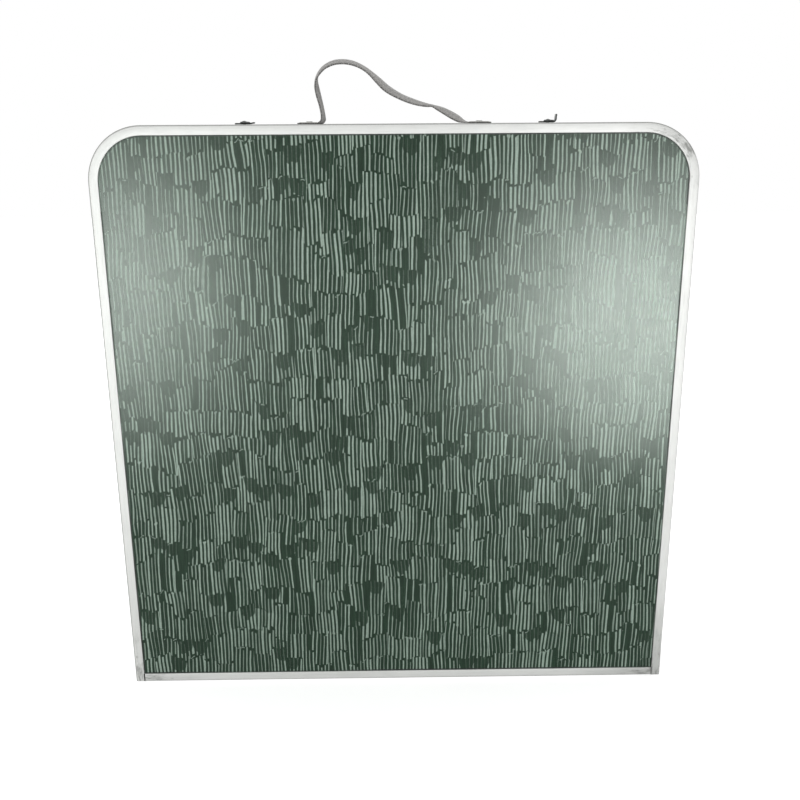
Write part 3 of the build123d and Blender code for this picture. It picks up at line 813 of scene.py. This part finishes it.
class CARDTABLE_OT_edging(bpy.types.Operator):
    """The bent aluminium edging of both leaves and their rails along the fold"""
    bl_idname = "card_table.edging"
    bl_label = "Edging"

    # Roundings of the section's small corners
    rim_rounding, inner_rounding = 0.0003, 0.0002

    def execute(self, context):
        settings = context.scene.card_table.edging
        for number, leaf in enumerate(LEAVES):
            metal = edging_metal(settings, number + 1)
            frame_piece = self.side_and_top(settings, leaf)
            rail_piece = self.fold_rail(settings, leaf)
            for piece, node in ((frame_piece, "edge_frame"), (rail_piece, "fold_rail")):
                piece.data.materials.append(metal)
                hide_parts(f"{leaf}_{node}")
                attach(piece, f"{leaf}_leaf")
        return {"FINISHED"}

    def lip_and_ledge(self, settings, lip):
        """The part that both sections share, a lip in front and a ledge under the board: its
        corners, as distances inwards and depths, and their roundings."""
        wall, ledge, inner = EDGING_WALL, lip - LEDGE_SHORTER, self.inner_rounding
        corners = [(0, 0), (lip, 0), (lip, LIP_BACK), (wall, LIP_BACK), (wall, LEDGE_FRONT),
                   (ledge, LEDGE_FRONT), (ledge, LEDGE_BACK), (wall, LEDGE_BACK)]
        return corners, [settings.outer_rounding, settings.lip_rounding, inner, 0, 0, inner, inner, 0]

    def side_and_top(self, settings, leaf):
        """A channel section carried round the leaf. The section is a web with its lip and its
        ledge, and the web is cut back at its foot to a quarter circle."""
        depth, rim = FRAME_HIGH.y - FRAME_LOW.y, self.rim_rounding
        corners, radii = self.lip_and_ledge(settings, settings.flange_width)
        section = rounded_profile(
            [(0, depth), *corners, (EDGING_WALL, depth)], [rim, *radii, rim])
        points, inward = frame_path(FRAME_HIGH.x, FRAME_HIGH.z, settings.corner_radius)
        place = points[:, None, :] + section[None, :, :1] * inward[:, None, :]
        nose = depth / 2
        below = np.clip(nose - points[:, 1], 0, nose)
        limit = nose + np.sqrt(nose ** 2 - below ** 2)
        deep = section[None, :, 1]
        past = np.where(deep > nose, nose + (deep - nose) * ((limit[:, None] - nose) / nose), deep)
        past = np.where(points[:, 1][:, None] < nose, past, deep)
        grid = np.stack([place[..., 0], FRAME_LOW.y + past, place[..., 1]], -1)
        return swept_piece(f"{leaf}_edging", leaf_side(grid, leaf), distance_along(points),
                           distance_round(section))

    def fold_rail(self, settings, leaf):
        """A straight rail: a web with its lip and its ledge, and a quarter round nose behind."""
        low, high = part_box("front_fold_rail")
        nose = (high.y - low.y) / 2
        turn = np.linspace(0, np.pi / 2, 13)

        def quarter(radius):
            return np.stack([nose + radius * np.sin(turn), nose - radius * np.cos(turn)], -1)

        corners, radii = self.lip_and_ledge(settings, settings.fold_flange_width)
        upright = np.array(corners)[:, ::-1]
        section = rounded_profile(
            np.concatenate([upright, quarter(nose - EDGING_WALL), quarter(nose)[::-1]]),
            radii + [0] * (2 * len(turn)))
        run = np.linspace(low.x, high.x, 31)
        shape = (len(run), len(section))
        grid = np.stack([
            np.broadcast_to(run[:, None], shape),
            low.y + np.broadcast_to(section[None, :, 0], shape),
            np.broadcast_to(section[None, :, 1], shape)], -1)
        return swept_piece(f"{leaf}_fold_edging", leaf_side(grid, leaf), run - run[0],
                           distance_round(section))


class CARDTABLE_OT_panels(bpy.types.Operator):
    """The printed laminate, the hardboard and the batten of both leaves"""
    bl_idname = "card_table.panels"
    bl_label = "Panels"

    def execute(self, context):
        settings = context.scene.card_table
        for number, leaf in enumerate(LEAVES):
            dress([f"{leaf}_laminate"], printed_laminate(settings.laminate, number + 1))
        dress(both("board"), pressed_hardboard(settings.fittings.board_colour))
        dress(both("batten"), planed_softwood(settings.fittings.batten_colour))
        return {"FINISHED"}


# The strap's middle line in X and Z from the left tail to the right tail, in millimetres,
# and its twist in degrees, positive where the front edge is the lower one
STRAP_LINE = [
    (-94.0, 610.65, 0), (-86.0, 610.65, 0), (-78.5, 610.65, 0), (-74.0, 610.75, -3), (-71.4, 611.6, -6),
    (-70.0, 613.6, -7), (-70.0, 619.0, -5), (-71.5, 627.5, -5), (-73.8, 636.5, -7), (-75.3, 645.0, -5),
    (-75.0, 651.5, 2), (-72.4, 657.2, 8), (-67.2, 662.7, 11), (-59.2, 666.6, 13), (-50.4, 667.8, 13),
    (-40.4, 666.6, 12), (-30.6, 662.6, 10), (-22.6, 657.2, 11), (-14.8, 650.2, 16), (-6.7, 643.0, 18),
    (6.9, 635.3, 15), (20.6, 630.2, 13), (31.5, 627.4, 7), (36.5, 626.4, 2), (41.5, 624.9, 9),
    (48.0, 622.3, 15), (57.5, 617.4, 18), (64.0, 614.0, 15), (68.2, 612.0, 7), (72.0, 610.9, 1),
    (76.0, 610.65, 0), (82.0, 610.65, 0), (94.0, 610.65, 0),
]
MILLIMETRE = 0.001


def smooth_line(points, spacing):
    """A centripetal curve through the points, sampled evenly: each span is a cubic whose
    knots lie at the square roots of the gaps between the points."""
    points = np.asarray(points, float)
    ends = np.concatenate([[2 * points[0] - points[1]], points, [2 * points[-1] - points[-2]]])
    gaps = np.sqrt(np.linalg.norm(np.diff(ends[:, :2], axis=0), axis=1))
    share = np.linspace(0, 1, 24, endpoint=False)[:, None]
    spans = []
    for i in range(1, len(ends) - 2):
        a, b, c, d = ends[i - 1:i + 3]
        ga, gb, gc = gaps[i - 1:i + 2]
        slope_b = ((b - a) / ga - (c - a) / (ga + gb) + (c - b) / gb) * gb
        slope_c = ((c - b) / gb - (d - b) / (gb + gc) + (d - c) / gc) * gb
        cube, square = share ** 3, share ** 2
        spans.append((2 * cube - 3 * square + 1) * b + (cube - 2 * square + share) * slope_b
                     + (3 * square - 2 * cube) * c + (cube - square) * slope_c)
    line = np.concatenate(spans + [points[-1:]])
    reach = distance_along(line[:, :2])
    even = np.linspace(0, reach[-1], int(reach[-1] / spacing) + 1)
    return np.stack([np.interp(even, reach, line[:, k]) for k in range(line.shape[1])], -1), even


class CARDTABLE_OT_strap(bpy.types.Operator):
    """The carrying strap, its plates and its rivets"""
    bl_idname = "card_table.strap"
    bl_label = "Strap"

    # Where the band leaves the rail and over what height it becomes free, in metres, how
    # far its middle then bows out, and how much thicker it is there
    free_from, free_within, free_bow, free_swell = 0.6112, 0.003, 0.0013, 0.35
    plate_colour = (0.42, 0.42, 0.40)

    def execute(self, context):
        settings = context.scene.card_table.strap
        strap = self.webbing(settings)
        strap.data.materials.append(woven_webbing(settings))
        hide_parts("strap")
        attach(strap, "front_leaf")
        dress(["strap_plates", "strap_rivets"],
              plated_metal("strap_zinc", self.plate_colour, roughness=0.50, stain=0.6, seed=31))
        return {"FINISHED"}

    def webbing(self, settings):
        """A woven band carried along its middle line. The section is a flat oval, bowed by a
        parabola where it is free and twisted by an angle that changes along the line. The
        weave lifts it: each lengthwise yarn is a half sine across, and a full sine along,
        half a wave out of step with its neighbour."""
        line, along = smooth_line(STRAP_LINE, settings.pick_pitch / 6 / MILLIMETRE)
        centre, along = line[:, :2] * MILLIMETRE, along * MILLIMETRE
        twist = np.radians(line[:, 2])
        tangent = directions(np.gradient(centre, along, axis=0))
        outward = np.stack([-tangent[:, 1], tangent[:, 0]], -1)
        half = settings.width / 2
        free = np.clip((centre[:, 1] - self.free_from) / self.free_within, 0, 1)[:, None]
        thick = settings.thickness / 2 * (1 + self.free_swell * free)
        yarns = settings.width / settings.yarn_width
        row = np.linspace(-1, 1, int(round(yarns * 4)) + 1)[1:-1]
        edge = np.sqrt(1 - np.abs(row) ** 16)
        across = np.concatenate([[-half], row * half, [half], row[::-1] * half])
        side = np.concatenate([[0], edge, [0], -edge[::-1]])
        yarn = np.abs(np.sin(np.pi * (across + half) / settings.yarn_width)) ** 0.6
        step = np.floor((across + half) / settings.yarn_width + 1e-6)
        wave = 0.5 + 0.5 * np.cos(2 * np.pi * along[:, None] / settings.pick_pitch
                                  + np.pi * step[None, :] + np.pi * (side[None, :] < 0))
        inner = 1 - (across / half) ** 6
        lift = settings.relief * (yarn[None, :] * (0.3 + 0.7 * wave) - 0.6) * inner[None, :]
        bow = self.free_bow * free * (0.5 - (across[None, :] / half) ** 2)
        rise = side[None, :] * (thick + lift) + bow
        cosine, sine = np.cos(twist)[:, None], np.sin(twist)[:, None]
        deep = across[None, :] * cosine - rise * sine
        out = across[None, :] * sine + rise * cosine
        middle = (STRAP_LOW.y + STRAP_HIGH.y) / 2
        grid = np.stack([
            centre[:, :1] + out * outward[:, :1],
            middle + deep,
            centre[:, 1:] + out * outward[:, 1:]], -1)
        around = np.concatenate([across + half, [0]])
        return swept_piece("carrying_strap", grid, along, around, sharp_angle=3.0)


class CARDTABLE_OT_latches(bpy.types.Operator):
    """The latch hooks with their pressed hubs, their rivets and the studs they catch"""
    bl_idname = "card_table.latches"
    bl_label = "Latches"

    # Heights over the hook's plate of the rivet, the hub's crest and the hub's shoulder, how
    # far the hub goes into the plate and under the rivet, how far its foot, its shoulder and
    # its lobe lie outside the rivet, and its roundings, in metres
    dome, crest, shoulder, sunk = 0.0019, 0.0013, 0.0009, 0.0004
    foot_out, shoulder_out, lobe_out = 0.0006, 0.0002, 0.0032
    roundings = (0, 0.0002, 0.0003, 0.0002)

    def execute(self, context):
        steel = blackened_steel(context.scene.card_table.fittings.latch_colour)
        dress(["left_latch_hook", "right_latch_hook", "latch_rivets", "latch_studs"], steel)
        low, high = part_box("latch_rivets")
        radius = (high.y - low.y) / 2
        for side, x in (("left", low.x + radius), ("right", high.x - radius)):
            hub = self.hub(side, x, (low.y + high.y) / 2, radius, high.z - self.dome)
            hub.data.materials.append(steel)
            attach(hub, f"{side}_latch")
        return {"FINISHED"}

    def hub(self, side, x, y, rivet_radius, plate_top):
        """A low ring round the rivet: a section of a flank, a crest and a bore is turned about
        the rivet. The flank reaches furthest to the front right, and stays close to the
        rivet where the stud passes as the latch turns."""
        foot, bore = plate_top - self.sunk, rivet_radius - self.sunk
        section = rounded_profile([
            (bore, foot), (rivet_radius + self.foot_out, foot),
            (rivet_radius + self.shoulder_out, plate_top + self.shoulder),
            (bore, plate_top + self.crest)], self.roundings)
        turn = np.linspace(0, 2 * np.pi, 65)
        share = (section[:, 0] - section[:, 0].min()) / np.ptp(section[:, 0])
        lobe = (0.5 + 0.5 * np.cos(turn + np.pi / 4)) ** 2
        reach = section[None, :, 0] + self.lobe_out * share[None, :] * lobe[:, None]
        grid = np.stack([
            x + reach * np.cos(turn)[:, None],
            y + reach * np.sin(turn)[:, None],
            np.broadcast_to(section[None, :, 1], reach.shape)], -1)
        return turned_piece(f"{side}_latch_hub", grid)


class CARDTABLE_OT_hinge(bpy.types.Operator):
    """The fold links, their pins, and the gussets with their rivets"""
    bl_idname = "card_table.hinge"
    bl_label = "Hinge"

    rivet_colour = (0.66, 0.66, 0.66)

    def execute(self, context):
        zinc_colour = context.scene.card_table.fittings.zinc_colour
        dress(["fold_links", *both("link_pins", "corner_gussets")],
              plated_metal("hinge_zinc", zinc_colour, roughness=0.36, stain=0.45, seed=41))
        dress(both("gusset_rivets", "bracket_rivets"),
              plated_metal("rivet_aluminium", self.rivet_colour, roughness=0.30, stain=0.3, seed=43))
        return {"FINISHED"}


class CARDTABLE_OT_legs(bpy.types.Operator):
    """The legs with their extensions, feet, collars, brackets, pins and rests"""
    bl_idname = "card_table.legs"
    bl_label = "Legs"

    def execute(self, context):
        colours = context.scene.card_table.fittings
        dress(both("left_leg_tube", "right_leg_tube"),
              plated_metal("leg_aluminium", colours.tube_colour, roughness=0.33, stain=0.25, seed=51))
        dress(both("left_leg_extension", "right_leg_extension"),
              plated_metal("extension_aluminium", colours.tube_colour,
                           roughness=0.24, stain=0.15, seed=53))
        dress(both("left_leg_foot", "right_leg_foot"),
              moulded("foot_rubber", colours.rubber_colour, roughness=0.62, grain_scale=1400.0))
        dress(both("left_leg_collar", "right_leg_collar", "leg_rests"),
              moulded("grey_plastic", colours.plastic_colour, roughness=0.42, grain_scale=2200.0))
        dress(both("leg_brackets", "leg_pins"),
              plated_metal("bracket_zinc", colours.zinc_colour, roughness=0.40, stain=0.5, seed=57))
        return {"FINISHED"}


# The stage

def studio_plane(name, size, colour, glow):
    """A level square of floor, whose pale colour is helped by a glow that only the camera
    and mirrored or transmitted rays see, so that it keeps the object's shadow."""
    half = size / 2
    mesh = bpy.data.meshes.new(name)
    corners = [(-half, -half, 0), (half, -half, 0), (half, half, 0), (-half, half, 0)]
    mesh.from_pydata(corners, [], [(0, 1, 2, 3)])
    material, w, shader, _ = new_material(name)
    shader["Base Color"] = shade(colour)
    shader["Roughness"] = 0.9
    shader["Specular IOR Level"] = 0.0
    shader["Emission Color"] = w.mix(w.seen_directly(), (0, 0, 0, 1), (glow, glow, glow, 1))
    shader["Emission Strength"] = 1.0
    mesh.materials.append(material)
    return new_object(name, mesh)


def softbox(name, place, target, width, height, power):
    """An area lamp that faces a point and isn't seen itself."""
    lamp = bpy.data.lights.new(name, "AREA")
    lamp.shape, lamp.size, lamp.size_y, lamp.energy = "RECTANGLE", width, height, power
    holder = new_object(name, lamp)
    holder.location = place
    holder.rotation_euler = (Vector(target) - Vector(place)).to_track_quat("-Z", "Y").to_euler()
    holder.visible_camera = False
    return holder


def glare_box(name, place, target, width, height, power, receivers):
    """A softbox that only some pieces mirror. It is bright in its middle and fades to
    nothing at its rim by a smooth step of the distance from the middle."""
    holder = softbox(name, place, target, width, height, power)
    holder.visible_diffuse = False
    lamp = holder.data
    lamp.color = (0.93, 1.0, 0.95)
    lamp.use_nodes = True
    w = Wiring(lamp.node_tree)
    from_middle = w.distance(w.add("NewGeometry")["Parametric"], (0.5, 0.5, 0.0))
    w.existing("Emission")["Strength"] = w.fade(from_middle, 0.0, 0.5)
    linked = bpy.data.collections.new(name)
    for piece in receivers:
        linked.objects.link(piece)
    holder.light_linking.receiver_collection = linked


class CARDTABLE_OT_stage(bpy.types.Operator):
    """The floor, the white background, the lamps and the camera"""
    bl_idname = "card_table.stage"
    bl_label = "Stage"

    floor_colour, floor_glow = (0.86, 0.86, 0.86), 0.42
    # The camera's place in metres, and how far it looks down, looks right and is rolled
    camera_place, camera_turns = (-0.0071, -0.963, 0.6029), (16.183, 0.658, -0.373)

    def execute(self, context):
        settings = context.scene.card_table.stage
        studio_plane("studio_floor", settings.floor_size, self.floor_colour, self.floor_glow)
        self.background(context, settings)
        self.lamps(settings)
        self.camera(context, settings)
        return {"FINISHED"}

    def background(self, context, settings):
        """White where the camera or a mirrored ray looks, and an even light elsewhere."""
        world = bpy.data.worlds.new("studio")
        world.use_nodes = True
        w = Wiring(world.node_tree)
        back = w.existing("Background")
        back["Color"] = (1, 1, 1, 1)
        back["Strength"] = w.seen_directly() * (1.0 - settings.ambient) + settings.ambient
        context.scene.world = world

    def lamps(self, settings):
        """Two softboxes in front, three that the panels or the rails mirror, one above and
        one behind: each with its name, place, target, width, height and power."""
        glare = settings.glare_strength
        panels = [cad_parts[name] for name in both("laminate")]
        rails = [bpy.data.objects[name] for name in both("edging", "fold_edging")]
        softbox("right_softbox", (0.72, -1.68, 0.30), (0.24, -0.03, 0.44), 0.60, 0.60, 6.0)
        softbox("left_softbox", (-0.80, -1.50, 0.35), (-0.28, -0.03, 0.48), 0.50, 0.50, 2.4)
        glare_box("right_panel_glare", (0.470, -0.82, 0.243), (0.27, -0.03, 0.43),
                  0.84, 0.78, glare * 0.87, panels)
        glare_box("left_panel_glare", (-0.51, -0.82, 0.32), (-0.30, -0.03, 0.465),
                  0.66, 0.80, glare * 0.50, panels)
        glare_box("left_rail_glare", (-0.76, -1.50, 0.22), (-0.30, -0.03, 0.44),
                  0.70, 0.70, 11.0, rails)
        softbox("overhead", (0.0, -0.5, 2.3), (0.0, 0.0, 0.4), 1.6, 1.2, 4.5)
        softbox("rear_fill", (-0.5, 2.0, 1.3), (0.0, 0.0, 0.3), 2.2, 2.2, 18.0)

    def camera(self, context, settings):
        """The camera in front of the table's top edge, looking down at it."""
        camera = bpy.data.cameras.new("camera")
        camera.sensor_width, camera.lens = 36.0, settings.focal_length
        camera.clip_start, camera.clip_end = 0.05, 50.0
        holder = new_object("camera", camera)
        pitch, yaw, roll = np.radians(self.camera_turns)
        forward = Vector((math.sin(yaw) * math.cos(pitch), math.cos(yaw) * math.cos(pitch),
                          -math.sin(pitch)))
        level = Vector((math.cos(yaw), -math.sin(yaw), 0))
        upward = level.cross(forward)
        right = level * math.cos(roll) + upward * math.sin(roll)
        up = upward * math.cos(roll) - level * math.sin(roll)
        turn = Matrix((right, up, -forward)).transposed().to_4x4()
        holder.matrix_world = Matrix.Translation(self.camera_place) @ turn
        context.scene.camera = holder
        context.scene.view_settings.view_transform = "Standard"


STEPS = (
    CARDTABLE_OT_edging, CARDTABLE_OT_panels, CARDTABLE_OT_strap, CARDTABLE_OT_latches,
    CARDTABLE_OT_hinge, CARDTABLE_OT_legs, CARDTABLE_OT_stage,
)


class CARDTABLE_PT_steps(bpy.types.Panel):
    """Lists the steps that make the table"""
    bl_label = "Card table"
    bl_idname = "CARDTABLE_PT_steps"
    bl_space_type = "VIEW_3D"
    bl_region_type = "UI"
    bl_category = "Card table"

    def draw(self, context):
        for step in STEPS:
            self.layout.operator(step.bl_idname)


CLASSES = (
    EdgingSettings, LaminateSettings, StrapSettings, FittingSettings, StageSettings,
    CardTableSettings, *STEPS, CARDTABLE_PT_steps,
)


def register():
    for entry in CLASSES:
        bpy.utils.register_class(entry)
    bpy.types.Scene.card_table = PointerProperty(type=CardTableSettings)


def unregister():
    del bpy.types.Scene.card_table
    for entry in reversed(CLASSES):
        bpy.utils.unregister_class(entry)


def main():
    """Makes the table step by step."""
    register()
    for step in STEPS:
        group, name = step.bl_idname.split(".")
        getattr(getattr(bpy.ops, group), name)()


if __name__ == "__main__":
    main()
